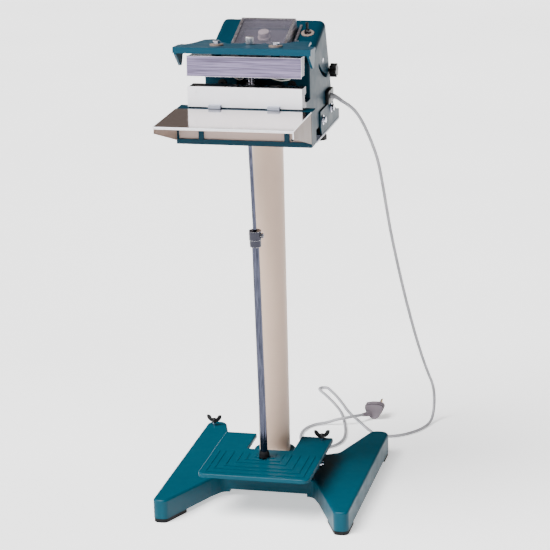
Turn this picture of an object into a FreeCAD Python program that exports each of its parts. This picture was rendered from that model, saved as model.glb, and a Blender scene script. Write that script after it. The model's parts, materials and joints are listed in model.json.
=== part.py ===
"""Foot-operated impulse heat sealer on a column: a parametric assembly of separate pieces.

Working frame: column axis at X = Y = 0, floor at Z = 0, the operator stands at -Y, millimetres.
Each node is then moved along Y, so that the origin is the bottom centre of the standing box.
"""
import FreeCAD, Part
import math
import os
import re

import Sketcher

Vector = FreeCAD.Vector
Rotation = FreeCAD.Rotation
Placement = FreeCAD.Placement

doc = FreeCAD.newDocument("HeatSealer")
sheet = doc.addObject("Spreadsheet::Sheet", "Sizes")

SIZES = {
    # stand
    "leg_outer": 221, "leg_top": 54, "leg_bottom": 9, "leg_front": 258, "leg_rear": 248,
    "tip_inner_front": 190, "tip_inner_rear": 179, "crotch_half_width": 124, "cross_half_width": 104,
    "cross_front": 77, "cross_rear": 80, "cross_bottom": 16, "foot_width": 27,
    "collar_radius": 47, "collar_top": 90, "post_radius": 35.2, "post_wall": 3, "post_bottom": 20,
    "post_top": 815, "shaft_radius": 5, "pivot_y": -32, "pivot_z": 74,
    # pedal
    "pedal_top": 108, "pedal_thick": 9, "pedal_front": 220, "pedal_rear": 46, "pedal_half_width": 127,
    "fork_half_width": 52.6, "fork_depth": 50, "rod_hole_radius": 13, "rod_foot_y": -102,
    # pull rod
    "tube_radius": 8, "upper_rod_radius": 4.25, "joint_z": 628, "link_y": -139, "link_z": 872,
    # head
    "head_half_width": 116, "wall": 3, "head_bottom": 850, "deck_top": 930, "head_front": 80,
    "panel_front_z": 1010, "panel_rear_y": 92, "panel_rear_z": 1071, "waist_y": 125, "waist_z": 972,
    "rear_y": 141, "rear_z": 893, "beam_half_width": 147, "beam_front": 211, "beam_rear": 166,
    "beam_bottom": 855, "bar_place": 93, "bar_width": 11, "hinge_y": 60, "hinge_z": 985,
    "tray_front": 384.5, "tray_half_width": 147.7, "tray_top": 930, "tray_sheet": 1.5,
    # jaws
    "jaw_half_length": 124, "jaw_face": 195.4, "jaw_rear": 152, "jaw_bottom": 933, "jaw_top": 974,
    "cover_thick": 1.5, "strip_thick": 1.5, "upper_face": 197, "upper_bottom": 977.9, "upper_top": 1021,
    "plate_top": 1041.4, "plate_thick": 5, "plate_front": 219, "plate_rear": 127,
    "plate_front_half": 148.7, "plate_rear_half": 26, "boss_place": 64, "boss_y": -176,
    "neck_half_width": 34, "neck_bottom": 972, "neck_top": 990, "open_angle": 4.68,
    # cord
    "cord_diameter": 7.2,
}

for row, (alias, number) in enumerate(SIZES.items(), start=1):
    sheet.set("A%d" % row, alias)
    sheet.set("B%d" % row, str(number))
    sheet.setAlias("B%d" % row, alias)
doc.recompute()

size = dict(SIZES)
post_shift = (size["tray_front"] - size["leg_rear"]) / 2
stand_place = Placement(Vector(0, post_shift, 0), Rotation())
hinge_point = Vector(0, size["hinge_y"], size["hinge_z"])
raised = Rotation(Vector(1, 0, 0), -size["open_angle"])
arm_place = stand_place.multiply(Placement(Vector(), raised, hinge_point))
panel_angle = math.degrees(math.atan2(size["panel_rear_z"] - size["panel_front_z"],
                                      size["panel_rear_y"] + size["head_front"]))
panel_turn = Rotation(Vector(1, 0, 0), panel_angle)
panel_corner = Vector(0, size["panel_rear_y"], size["panel_rear_z"])
panel_place = stand_place.multiply(Placement(panel_corner, panel_turn))
nodes = []


# ---------------------------------------------------------------- shared helpers

def words(text):
    """Turn an expression in the sheet's aliases into one FreeCAD can bind."""
    def prefix(match):
        return "Sizes." + match.group(0) if match.group(0) in size else match.group(0)
    return re.sub(r"[a-z][a-z_]*", prefix, str(text))


def bind(item, prop, text):
    item.setExpression(prop, words(text))


def block(corner, lengths):
    """A box from its lowest corner and its three lengths, each an expression."""
    item = doc.addObject("Part::Box", "Block")
    for prop, text in zip(("Length", "Width", "Height"), lengths):
        bind(item, prop, text)
    for axis, text in zip("xyz", corner):
        bind(item, "Placement.Base." + axis, text)
    return item


def cylinder(start, axis, radius, length):
    """A round bar from its start point along an axis given as a vector."""
    item = doc.addObject("Part::Cylinder", "Bar")
    item.Placement = Placement(Vector(), Rotation(Vector(0, 0, 1), Vector(*axis)))
    bind(item, "Radius", radius)
    bind(item, "Height", length)
    for letter, text in zip("xyz", start):
        bind(item, "Placement.Base." + letter, text)
    return item


def hexagon(start, axis, across, length):
    """A hexagonal bar, such as a bolt head, measured across its corners."""
    item = doc.addObject("Part::Prism", "Hexagon")
    item.Polygon = 6
    item.Placement = Placement(Vector(), Rotation(Vector(0, 0, 1), Vector(*axis)))
    bind(item, "Circumradius", "%s / 2" % across)
    bind(item, "Height", length)
    for letter, text in zip("xyz", start):
        bind(item, "Placement.Base." + letter, text)
    return item


def cut(base, *tools):
    for tool in tools:
        item = doc.addObject("Part::Cut", "Cut")
        item.Base = base
        item.Tool = tool
        base = item
    return base


def fuse(*items):
    item = doc.addObject("Part::MultiFuse", "Fuse")
    item.Shapes = list(items)
    item.Refine = True
    return item


def coded(shape):
    """A feature whose shape is made by code."""
    item = doc.addObject("Part::Feature", "Coded")
    item.Shape = shape
    return item


def node(label, items, place=stand_place):
    """Name a sub-part and put it in its place; several items become a group of solids."""
    wrapped = not isinstance(items, (list, tuple))
    if wrapped and items.TypeId in ("PartDesign::Body", "Part::Cut", "Part::MultiFuse",
                                    "Part::Fillet", "Part::Feature"):
        item = items
    else:
        item = doc.addObject("Part::Compound", "Group")
        item.Links = [items] if wrapped else list(items)
    item.Label = label
    item.Placement = place
    nodes.append(item)
    return item


def plane_of(body, role):
    return [item for item in body.Origin.OriginFeatures if item.Role == role][0]


def outline(body, role, points, offset="0"):
    """A closed sketch whose corners are bound, one by one, to expressions."""
    sketch = body.newObject("Sketcher::SketchObject", "Outline")
    sketch.AttachmentSupport = (plane_of(body, role), [""])
    sketch.MapMode = "FlatFace"
    bind(sketch, "AttachmentOffset.Base.z", offset)
    count = len(points)
    turn = 2 * math.pi / count
    start = [Vector(100 * math.cos(turn * i), 100 * math.sin(turn * i), 0) for i in range(count)]
    for i in range(count):
        sketch.addGeometry(Part.LineSegment(start[i], start[(i + 1) % count]), False)
    for i in range(count):
        sketch.addConstraint(Sketcher.Constraint("Coincident", i, 2, (i + 1) % count, 1))
    for i, (across, along) in enumerate(points):
        for kind, text in (("DistanceX", across), ("DistanceY", along)):
            place = sketch.addConstraint(Sketcher.Constraint(kind, -1, 1, i, 1, 10.0 + i))
            bind(sketch, "Constraints[%d]" % place, text)
    return sketch


def pad(body, sketch, length, both_ways=False):
    feature = body.newObject("PartDesign::Pad", "Pad")
    feature.Profile = sketch
    bind(feature, "Length", length)
    feature.Midplane = both_ways
    return feature


def pocket(body, sketch, length, both_ways=False, backwards=False):
    doc.recompute()
    before = body.Tip.Shape.Volume
    feature = body.newObject("PartDesign::Pocket", "Pocket")
    feature.Profile = sketch
    bind(feature, "Length", length)
    feature.Midplane = both_ways
    feature.Reversed = backwards
    doc.recompute()
    if feature.Shape.Volume > before - 1:
        raise ValueError("a pocket in %s cuts nothing" % body.Label)
    return feature


def rounded(body, radius, test):
    """Fillet each edge of the body's tip that passes the test."""
    doc.recompute()
    tip = body.Tip
    names = ["Edge%d" % (i + 1) for i, edge in enumerate(tip.Shape.Edges) if test(edge)]
    if not names:
        raise ValueError("no edge to round in %s" % body.Label)
    feature = body.newObject("PartDesign::Fillet", "Round")
    feature.Base = (tip, names)
    bind(feature, "Radius", radius)
    doc.recompute()
    return feature


def new_body():
    return doc.addObject("PartDesign::Body", "Body")


def along_panel(edge):
    """True for a long edge that follows the slope of the control panel."""
    return edge.BoundBox.YLength > 100 and edge.BoundBox.ZLength > 40


def upright(edge):
    """True for a straight edge along Z."""
    box = edge.BoundBox
    return box.XLength < 0.01 and box.YLength < 0.01


def at_height(edge, height):
    """True for an edge that lies level at one height."""
    box = edge.BoundBox
    return abs(box.ZMin - height) < 0.01 and abs(box.ZMax - height) < 0.01


def mirrored(points):
    """Close an outline given for X > 0 with its mirror image."""
    return list(points) + [("-(%s)" % across, along) for across, along in reversed(points)]


# ---------------------------------------------------------------- stand

def make_base():
    body = new_body()
    right_side = [
        ("cross_half_width", "-cross_front"), ("crotch_half_width", "-cross_front - 34"),
        ("tip_inner_front", "-leg_front"), ("leg_outer", "-leg_front"),
        ("leg_outer", "leg_rear"), ("tip_inner_rear", "leg_rear"),
        ("crotch_half_width + 6", "cross_rear + 16"), ("cross_half_width", "cross_rear"),
    ]
    pad(body, outline(body, "XY_Plane", mirrored(right_side), "leg_bottom"), "leg_top - leg_bottom")
    rounded(body, 14, lambda edge: upright(edge) and edge.CenterOfMass.y < -200)
    rounded(body, 20, lambda edge: upright(edge) and edge.CenterOfMass.y > 200)
    rounded(body, 22, lambda edge: upright(edge) and abs(edge.CenterOfMass.y) < 130)
    rounded(body, 5, lambda edge: at_height(edge, size["leg_top"]))
    under = [("-90", "-cross_front - 5"), ("90", "-cross_front - 5"),
             ("90", "cross_rear + 5"), ("-90", "cross_rear + 5")]
    pocket(body, outline(body, "XY_Plane", under, "leg_bottom"), "cross_bottom - leg_bottom",
           backwards=True)
    collar = cylinder(("0", "0", "cross_bottom"), (0, 0, 1), "collar_radius",
                      "collar_top - cross_bottom")
    socket = cylinder(("0", "0", "post_bottom"), (0, 0, 1), "post_radius + 0.05", "100")
    lugs = []
    for side in (-1, 1):
        lugs.append(block(("%d * 79 - 7" % side, "pivot_y - 11", "leg_top - 10"),
                          ("14", "22", "pivot_z + 11 - leg_top + 10")))
    bore = cylinder(("-100", "pivot_y", "pivot_z"), (1, 0, 0), "shaft_radius + 0.02", "200")
    clear_post = cylinder(("-60", "pivot_y", "pivot_z"), (1, 0, 0), "shaft_radius + 1", "120")
    screw_holes = []
    for side in (-1, 1):
        screw_holes.append(cylinder(("%d * 30" % side, "0", "collar_top - 14"), (side, 0, 0),
                                    "4.02", "30"))
    leveller = cylinder(("-tip_inner_rear - 22", "leg_rear - 30", "0"), (0, 0, 1), "4.05", "100")
    leveller_room = cylinder(("-tip_inner_rear - 22", "leg_rear - 30", "0"), (0, 0, 1), "9", "24")
    body_all = fuse(body, collar, *lugs)
    node("base_casting", cut(body_all, socket, bore, clear_post, *screw_holes, leveller,
                             leveller_room))


RUBBER_FEET = []


def make_feet():
    """Soles under three leg ends, and a narrow one beside the leveller."""
    for side in (-1, 1):
        outer = "%d * (leg_outer - 1)" % side
        inner_front = "%d * (tip_inner_front + 0.5)" % side
        inner_back = "%d * (tip_inner_front - 29)" % side
        sole = [(inner_back, "-leg_front + 68"), (outer, "-leg_front + 68"),
                (outer, "-leg_front + 1"), (inner_front, "-leg_front + 1")]
        RUBBER_FEET.append(sole_body(sole, 13))
    inner = "tip_inner_rear + 1"
    sole = [(inner, "leg_rear - 62"), ("leg_outer - 1", "leg_rear - 62"),
            ("leg_outer - 1", "leg_rear - 1"), (inner, "leg_rear - 1")]
    RUBBER_FEET.append(sole_body(sole, 19))
    RUBBER_FEET.append(block(("-leg_outer + 4", "leg_rear - 18", "0"), ("foot_width", "8", "leg_bottom")))


def sole_body(points, radius):
    body = new_body()
    pad(body, outline(body, "XY_Plane", points), "leg_bottom")
    rounded(body, radius, lambda edge: upright(edge) and abs(edge.CenterOfMass.y) > 230)
    return body


def make_post():
    outer = cylinder(("0", "0", "post_bottom"), (0, 0, 1), "post_radius", "post_top - post_bottom")
    inner = cylinder(("0", "0", "post_bottom - 1"), (0, 0, 1), "post_radius - post_wall",
                     "post_top - post_bottom + 1")
    # the pedal shaft passes in front of the axis, through two holes in the tube
    shaft_way = cylinder(("-60", "pivot_y", "pivot_z"), (1, 0, 0), "shaft_radius + 1", "120")
    flange = cylinder(("0", "0", "post_top"), (0, 0, 1), "46", "8")
    node("post_tube", cut(fuse(outer, flange), inner, shaft_way))
    screws = []
    for side in (-1, 1):
        shank = cylinder(("%d * (post_radius + 0.1)" % side, "0", "collar_top - 14"),
                         (side, 0, 0), "4", "16")
        hexagon_socket = hexagon(("%d * (post_radius + 12)" % side, "0", "collar_top - 14"),
                                 (side, 0, 0), "4.6", "6")
        screws.append(cut(shank, hexagon_socket))
    node("collar_set_screws", screws)


def make_pedal_shaft():
    shaft = cylinder(("-121", "pivot_y", "pivot_z"), (1, 0, 0), "shaft_radius", "242")
    washers = [shaft]
    for side in (-1, 1):
        ring = cylinder(("%d * 113.5" % side, "pivot_y", "pivot_z"), (side, 0, 0), "9", "4")
        hole = cylinder(("%d * 113" % side, "pivot_y", "pivot_z"), (side, 0, 0), "shaft_radius", "5")
        washers.append(cut(ring, hole))
    node("pedal_shaft", washers)


def wing_shape(shank_radius, shank_length, hub_radius):
    """A wing bolt that stands on the XY plane with its shank pointing down."""
    shank = Part.makeCylinder(shank_radius, shank_length, Vector(0, 0, -shank_length))
    hub = Part.makeCone(hub_radius, hub_radius * 0.8, 9)
    solid = shank.fuse(hub)
    for side in (-1, 1):
        wing = Part.makeCylinder(7, 2.6, Vector(side * 11.5, 1.3, 12), Vector(0, -1, 0))
        neck = Part.makeBox(9, 2.6, 7, Vector(0 if side > 0 else -9, -1.3, 2))
        neck.rotate(Vector(0, 0, 4), Vector(0, 1, 0), -35 * side)
        solid = solid.fuse([wing, neck])
    return solid.removeSplitter()


def make_wing_bolts():
    leveller = coded(wing_shape(4, size["leg_top"] + 8, 6.5))
    at_leg = Vector(-size["tip_inner_rear"] - 22, size["leg_rear"] - 30, size["leg_top"] + 8)
    node("leveller_wing_bolt", leveller, stand_place.multiply(Placement(at_leg, Rotation())))
    stop = coded(wing_shape(4, size["pedal_top"] + 6 - size["leg_top"] - 0.3, 6.5))
    at_wing = Vector(105, 26, size["pedal_top"] + 6)
    turned = Rotation(Vector(0, 0, 1), 12)
    node("pedal_stop_wing_bolt", stop, stand_place.multiply(Placement(at_wing, turned)))


# ---------------------------------------------------------------- pedal

# nested U-shaped beads on the tread, each as (half width, distance of its front bar)
PEDAL_BEADS = ((23, 104), (41, 122), (58, 141), (78, 166), (98, 185), (112, 206))


def make_pedal():
    body = new_body()
    bottom = "pedal_top - pedal_thick"
    right_side = [
        ("fork_half_width", "-fork_depth"), ("fork_half_width", "pedal_rear"),
        ("pedal_half_width", "pedal_rear"), ("pedal_half_width", "-pedal_front"),
    ]
    sketch = outline(body, "XY_Plane", mirrored(right_side), bottom)
    pad(body, sketch, "pedal_thick")
    rounded(body, 18, lambda edge: upright(edge) and edge.CenterOfMass.y < -200)
    rounded(body, 4, lambda edge: upright(edge) and edge.CenterOfMass.y > -60)
    rounded(body, 3.5, lambda edge: at_height(edge, size["pedal_top"]))
    ribs = []
    for half, front in PEDAL_BEADS:
        ribs.append(block((str(-half), str(-front), "pedal_top - 0.5"), (str(2 * half), "3", "1.7")))
        for side in (-1, 1):
            ribs.append(block(("%g" % (side * (half - 1.5) - 1.5), str(-front), "pedal_top - 0.5"),
                              ("3", str(front - 78), "1.7")))
    lugs = []
    for side in (-1, 1):
        lugs.append(block(("%d * 106 - 6" % side, "pivot_y - 12", "pivot_z - 12"),
                          ("12", "24", bottom + " - pivot_z + 12.5")))
    rod_lugs = []
    for side in (-1, 1):
        rod_lugs.append(block(("%d * 12 - 3" % side, "rod_foot_y - 9", bottom + " - 21"),
                              ("6", "18", "21.5")))
    bore = cylinder(("-130", "pivot_y", "pivot_z"), (1, 0, 0), "shaft_radius + 0.05", "260")
    pin_bore = cylinder(("-20", "rod_foot_y", bottom + " - 12"), (1, 0, 0), "3.02", "40")
    rod_hole = []
    for along in ("rod_foot_y - 1", "rod_foot_y + 5"):
        rod_hole.append(cylinder(("0", along, bottom + " - 1"), (0, 0, 1), "rod_hole_radius",
                                 "pedal_thick + 3"))
    stop_hole = cylinder(("105", "26", bottom + " - 1"), (0, 0, 1), "4.05", "pedal_thick + 2")
    whole = fuse(body, *ribs, *lugs, *rod_lugs)
    node("pedal_plate", cut(whole, bore, pin_bore, *rod_hole, stop_hole))
    node("pedal_cross_pin", cylinder(("-17", "rod_foot_y", bottom + " - 12"), (1, 0, 0), "3", "34"))


# ---------------------------------------------------------------- pull rod

def bar_between(start, end, radius, hollow=0):
    """A round bar or tube from one point to another."""
    run = end - start
    solid = Part.makeCylinder(radius, run.Length, start, run)
    if hollow:
        solid = solid.cut(Part.makeCylinder(hollow, run.Length + 2, start - run.normalize(), run))
    return solid


def make_pull_rod():
    """Eye, boot, tube, clamp collar, upper rod, link block and the bolt up to the arm."""
    pin = Vector(0, size["rod_foot_y"], size["pedal_top"] - size["pedal_thick"] - 12)
    joint = Vector(0, -134, size["joint_z"])
    top = Vector(0, -162, size["link_z"])
    lean = (joint - pin).normalize()
    eye = Part.makeCylinder(8, 10, pin - Vector(5, 0, 0), Vector(1, 0, 0))
    eye = eye.cut(Part.makeCylinder(4.6, 20, pin - Vector(10, 0, 0), Vector(1, 0, 0)))
    stem = Part.makeCylinder(4.5, 26, pin + lean * 6.2, lean)
    node("rod_eye", coded(eye.fuse(stem)))
    sleeve_start = pin + lean * 25
    sleeve = Part.makeCone(12, 11.4, 9, sleeve_start, lean)
    sleeve = sleeve.fuse(Part.makeCone(11.4, 9.4, 5, sleeve_start + lean * 9, lean))
    sleeve = sleeve.cut(bar_between(sleeve_start - lean * 2, sleeve_start + lean * 30, 8.02))
    node("rod_boot", coded(sleeve.removeSplitter()))
    tube = bar_between(pin + lean * 22, joint, size["tube_radius"], 4.52)
    node("pull_tube", coded(tube))
    collar = bar_between(joint - lean * 0.02 + lean * 0.1, joint + lean * 20, 13.5)
    collar = collar.fuse(bar_between(joint - lean * 16, joint + lean * 0.2, 12.5, 8.02))
    rod = bar_between(joint + lean * 2, top, size["upper_rod_radius"])
    screw_at = joint + lean * 9
    screw = Part.makeCylinder(3, 13, screw_at + Vector(4.4, 0, 0), Vector(1, 0, 0))
    head = Part.makeCylinder(5.2, 5, screw_at + Vector(14, 0, 0), Vector(1, 0, 0))
    head = head.cut(Part.makeCylinder(2.4, 4, screw_at + Vector(16, 0, 0), Vector(1, 0, 0)))
    screw = screw.fuse(head)
    ring = coded(collar.cut(rod).cut(screw).removeSplitter())
    node("rod_collar", [ring, coded(screw.cut(rod).removeSplitter())])
    node("upper_rod", coded(rod))
    low = size["link_z"] - 4
    link = Part.makeBox(18, 42, 12, Vector(-9, -171, low))
    bolt_foot = Vector(0, size["link_y"], low + 4)
    bolt_top = 1074
    bolt = Part.makeCylinder(4, bolt_top - bolt_foot.z, bolt_foot)
    node("pressure_bolt", [coded(bolt), coded(link.cut(rod).cut(bolt))])


def make_pressure_nut():
    """The two-step nut, with a groove, that sets the sealing pressure."""
    seat = 1059.3
    low = Part.makeCylinder(8.6, 5, Vector(0, size["link_y"], seat))
    groove = Part.makeCylinder(6.8, 1.5, Vector(0, size["link_y"], seat + 5))
    high = Part.makeCylinder(8.2, 9, Vector(0, size["link_y"], seat + 6.5))
    nut = low.fuse([groove, high]).removeSplitter()
    hole = Part.makeCylinder(4.05, 30, Vector(0, size["link_y"], seat - 2))
    node("pressure_nut", coded(nut.cut(hole)))


# ---------------------------------------------------------------- head housing

def head_profile(inset):
    """Side outline of the head as (Y, Z) expressions, moved inwards by an inset."""
    return [
        ("-beam_rear + 0.1 + {0}".format(inset), "head_bottom"),
        ("-beam_rear + 0.1 + {0}".format(inset), "deck_top - {0}".format(inset)),
        ("-head_front + {0}".format(inset), "deck_top - {0}".format(inset)),
        ("-head_front + {0}".format(inset), "panel_front_z - {0} * 1.1".format(inset)),
        ("panel_rear_y - {0} * 0.8".format(inset), "panel_rear_z - {0} * 1.2".format(inset)),
        ("waist_y - {0}".format(inset), "waist_z"),
        ("rear_y - {0}".format(inset), "rear_z"),
        ("rear_y - {0}".format(inset), "head_bottom"),
    ]


def make_housing():
    body = new_body()
    pad(body, outline(body, "YZ_Plane", head_profile("0")), "2 * head_half_width", True)
    rounded(body, 14, along_panel)
    rounded(body, 9, lambda edge: abs(edge.CenterOfMass.y - size["panel_rear_y"]) < 0.1
            and abs(edge.CenterOfMass.z - size["panel_rear_z"]) < 0.1)
    rounded(body, 3, lambda edge: abs(edge.CenterOfMass.y + size["head_front"]) < 0.1
            and abs(edge.CenterOfMass.z - size["panel_front_z"]) < 0.1)
    room = new_body()
    pad(room, outline(room, "YZ_Plane", head_profile("wall")), "2 * head_half_width - 2 * wall", True)
    rounded(room, 11, along_panel)
    # open to the rear, to the beam in front and to the bottom plate below
    rear_way = block(("-head_half_width + 12", "100", "head_bottom + 14"),
                     ("2 * head_half_width - 24", "60", "waist_z + 62 - head_bottom"))
    front_way = block(("-head_half_width + wall", "-beam_rear", "head_bottom - 1"),
                      ("2 * head_half_width - 2 * wall", "20", "deck_top - wall - head_bottom + 1"))
    neck_way = block(("-46", "-head_front - 2", "955"), ("106", "8", "52"))
    bolt_way = cylinder(("0", "link_y - 2.2", "deck_top - 10"), (0, 0, 1), "7.6", "20")
    grommets = []
    for side in (-1, 1):
        grommets.append(cylinder(("%d * 77" % side, "-head_front - 3", "960"), (0, 1, 0), "6", "10"))
    shaft_bore = cylinder(("-130", "hinge_y", "hinge_z"), (1, 0, 0), "6", "260")
    slots = [coded(arc_slot(side)) for side in (-1, 1)]
    toggle = panel_cylinder(88, -62, -12, "6.1", "20")
    knob = panel_cylinder(-2, -93, -12, "4", "20")
    star = cylinder(("100", "119", "952"), (1, 0, 0), "4.1", "30")
    gland = cylinder(("100", "98", "899"), (1, 0, 0), "7", "30")
    screws = []
    for side in (-1, 1):
        for along, up in BRACKET_BOLTS:
            screws.append(cylinder(("%d * 100" % side, str(along), str(up)), (side, 0, 0), "4.1", "30"))
    node("head_housing", cut(body, room, rear_way, front_way, neck_way, bolt_way, *grommets, shaft_bore,
                             *slots, toggle, knob, star, gland, *screws))


BRACKET_BOLTS = ((27, 860), (114, 868))


def arc_slot(side):
    """The curved slot in one side wall, cut along the circle through three points."""
    start = Vector(0, 15, 983)
    end = Vector(0, 91, 946)
    middle = Vector(0, 50, 960)
    half = 4.5
    circle = Part.Arc(start, middle, end).toShape().Curve
    centre = circle.Center
    radius = circle.Radius
    ring = Part.makeCylinder(radius + half, 12, Vector(0, centre.y, centre.z), Vector(1, 0, 0))
    ring = ring.cut(Part.makeCylinder(radius - half, 12, Vector(0, centre.y, centre.z),
                                      Vector(1, 0, 0)))
    wedge = Part.Face(Part.makePolygon([centre, centre + (start - centre) * 1.6,
                                        centre + (middle - centre) * 2.2,
                                        centre + (end - centre) * 1.6, centre]))
    solid = ring.common(wedge.extrude(Vector(12, 0, 0)))
    for point in (start, end):
        solid = solid.fuse(Part.makeCylinder(half, 12, point, Vector(1, 0, 0)))
    solid.translate(Vector(side * size["head_half_width"] - 6, 0, 0))
    return solid.removeSplitter()


def panel_cylinder(across, along, height, radius, length):
    """A bar square to the sloped panel; along is measured from its rear top edge."""
    item = doc.addObject("Part::Cylinder", "PanelBar")
    bind(item, "Radius", radius)
    bind(item, "Height", length)
    spot = panel_corner + panel_turn.multVec(Vector(across, along, height))
    item.Placement = Placement(spot, panel_turn)
    return item


COVER_SCREWS = []


def make_head_covers():
    rear = new_body()
    points = [("waist_y + 0.3", "waist_z"), ("rear_y + 0.3", "rear_z"),
              ("rear_y + 0.3", "head_bottom + 4"), ("rear_y + 2.3", "head_bottom + 4"),
              ("rear_y + 2.3", "rear_z"), ("waist_y + 2.3", "waist_z + 0.5"),
              ("panel_rear_y + 15.3", "panel_rear_z - 34"),
              ("panel_rear_y + 13.3", "panel_rear_z - 34.5")]
    pad(rear, outline(rear, "YZ_Plane", points), "2 * head_half_width - 8", True)
    node("rear_cover", rear)
    bottom = block(("-head_half_width + wall + 0.2", "-60", "head_bottom + 0.2"),
                   ("2 * head_half_width - 2 * wall - 0.4", "198", "2"))
    node("bottom_plate", bottom)
    screws = []
    for side in (-1, 1):
        screws.append(cylinder(("%d * 98" % side, "rear_y + 2.4", "870"), (0, 1, 0), "4", "2"))
    COVER_SCREWS.extend(screws)
    grommets = []
    for side in (-1, 1):
        flange = cylinder(("%d * 77" % side, "-head_front - 3", "960"), (0, 1, 0), "9.5", "2.9")
        body = cylinder(("%d * 77" % side, "-head_front - 1", "960"), (0, 1, 0), "5.9", "6")
        hole = cylinder(("%d * 77" % side, "-head_front - 4", "960"), (0, 1, 0), "3.2", "12")
        grommets.append(cut(fuse(flange, body), hole))
    node("wire_grommets", grommets)


def make_bracket():
    """The saddle on the post that the head is bolted into."""
    body = new_body()
    side_view = [("20", "827"), ("205", "827"), ("205", "846"), ("178", "852"), ("149", "864"),
                 ("136", "882"), ("8", "882"), ("8", "848")]
    pad(body, outline(body, "YZ_Plane", side_view), "2 * head_half_width + 7", True)
    inside = [("0", "830"), ("220", "830"), ("220", "900"), ("0", "900")]
    pocket(body, outline(body, "YZ_Plane", inside), "2 * head_half_width + 0.6", True)
    holes = []
    for along, up in BRACKET_BOLTS:
        holes.append(cylinder(("-130", str(along), str(up)), (1, 0, 0), "4.1", "260"))
    spacers = []
    for side in (-1, 1):
        spacers.append(block(("%d * 85 - 12" % side, "30", "829"), ("24", "100", "21")))
    node("head_saddle", cut(fuse(body, *spacers), *holes))
    bolts = []
    washers = []
    for side in (-1, 1):
        for along, up in BRACKET_BOLTS:
            face = 119.6
            shank = cylinder(("%d * 108" % side, str(along), str(up)), (side, 0, 0), "4", "13.8")
            head = hexagon(("%d * %g" % (side, face + 2.1), str(along), str(up)), (side, 0, 0),
                           "15", "5.5")
            bolts.append(fuse(shank, head))
            ring = cylinder(("%d * %g" % (side, face), str(along), str(up)), (side, 0, 0), "11", "2")
            hole = cylinder(("%d * %g" % (side, face - 1), str(along), str(up)), (side, 0, 0),
                            "4.1", "5")
            washers.append(cut(ring, hole))
    node("saddle_bolts", bolts + washers)
    node("mounting_plate", block(("-120.5", "-40", "post_top + 8.1"), ("241", "243", "3.8")))
    for side in (-1, 1):
        RUBBER_FEET.append(cylinder(("%d * 97" % side, "191", "post_top + 8"), (0, 0, -1), "8", "11"))
    node("rubber_feet", RUBBER_FEET)


CLAMP_KNOB = (100, 93)


def make_clamp_knob():
    """Black grip knob under the mounting plate, with a light collar."""
    across, along = CLAMP_KNOB
    collar = cylinder((str(across), str(along), "post_top + 7.8"), (0, 0, -1), "12", "12")
    grip = cylinder((str(across), str(along), "post_top - 4.3"), (0, 0, -1), "14", "11")
    notches = []
    for step in range(12):
        angle = math.radians(30 * step)
        notches.append(cylinder(("%g" % (across + 15.5 * math.cos(angle)),
                                 "%g" % (along + 15.5 * math.sin(angle)), "post_top - 3"),
                                (0, 0, -1), "2.6", "14"))
    node("clamp_knob", [collar, cut(grip, *notches)])


def make_beam():
    """The hollow front beam that carries the lower jaw and the tray."""
    body = new_body()
    square = [("-beam_front", "beam_bottom"), ("-beam_rear", "beam_bottom"),
              ("-beam_rear", "deck_top"), ("-beam_front", "deck_top")]
    pad(body, outline(body, "YZ_Plane", square), "2 * beam_half_width", True)
    rounded(body, 12, lambda edge: abs(edge.CenterOfMass.y + size["beam_rear"]) < 0.1
            and abs(edge.CenterOfMass.z - size["beam_bottom"]) < 0.1)
    room = block(("-beam_half_width + 3", "-beam_front + 4", "beam_bottom + 3"),
                 ("2 * beam_half_width - 6", "60", "deck_top - beam_bottom - 6"))
    rear_floor = block(("-108", "-beam_rear - 14", "beam_bottom - 2"), ("216", "20", "20"))
    edges = ("-beam_half_width + 5", "-bar_place - bar_width / 2", "-bar_place + bar_width / 2",
             "bar_place - bar_width / 2", "bar_place + bar_width / 2", "beam_half_width - 5")
    windows = []
    for low, high in zip(edges[0::2], edges[1::2]):
        windows.append(block((low, "-beam_front - 2", "beam_bottom + 11"),
                             ("(%s) - (%s)" % (high, low), "8", "deck_top - beam_bottom - 16")))
    node("front_beam", cut(body, room, rear_floor, *windows))
    node("beam_panel", block(("-beam_half_width + 3.2", "-beam_front + 4.2", "beam_bottom + 3.2"),
                             ("2 * beam_half_width - 6.4", "1.6", "deck_top - beam_bottom - 6.4")))


def make_tray():
    body = new_body()
    level = "tray_top + 0.2"
    corners = [("tray_half_width", "-tray_front"), ("beam_half_width", "-beam_front - 0.3")]
    pad(body, outline(body, "XY_Plane", mirrored(corners), level), "tray_sheet")
    lip = block(("-tray_half_width", "-tray_front", "tray_top - 3"),
                ("2 * tray_half_width", "tray_sheet", "3.2"))
    node("work_tray", fuse(body, lip))
    gussets = []
    for side in (-1, 1):
        plate = new_body()
        face = [("-tray_front + 2", "tray_top + 0.1"), ("-tray_front + 2", "tray_top - 13"),
                ("-beam_front - 0.3", "beam_bottom + 8"), ("-beam_front - 0.3", "tray_top + 0.1")]
        where = "tray_half_width - 2.2" if side > 0 else "-tray_half_width + 1"
        pad(plate, outline(plate, "YZ_Plane", face, where), "1.2")
        gussets.append(plate)
    node("tray_gussets", gussets)


# ---------------------------------------------------------------- lower jaw

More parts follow.
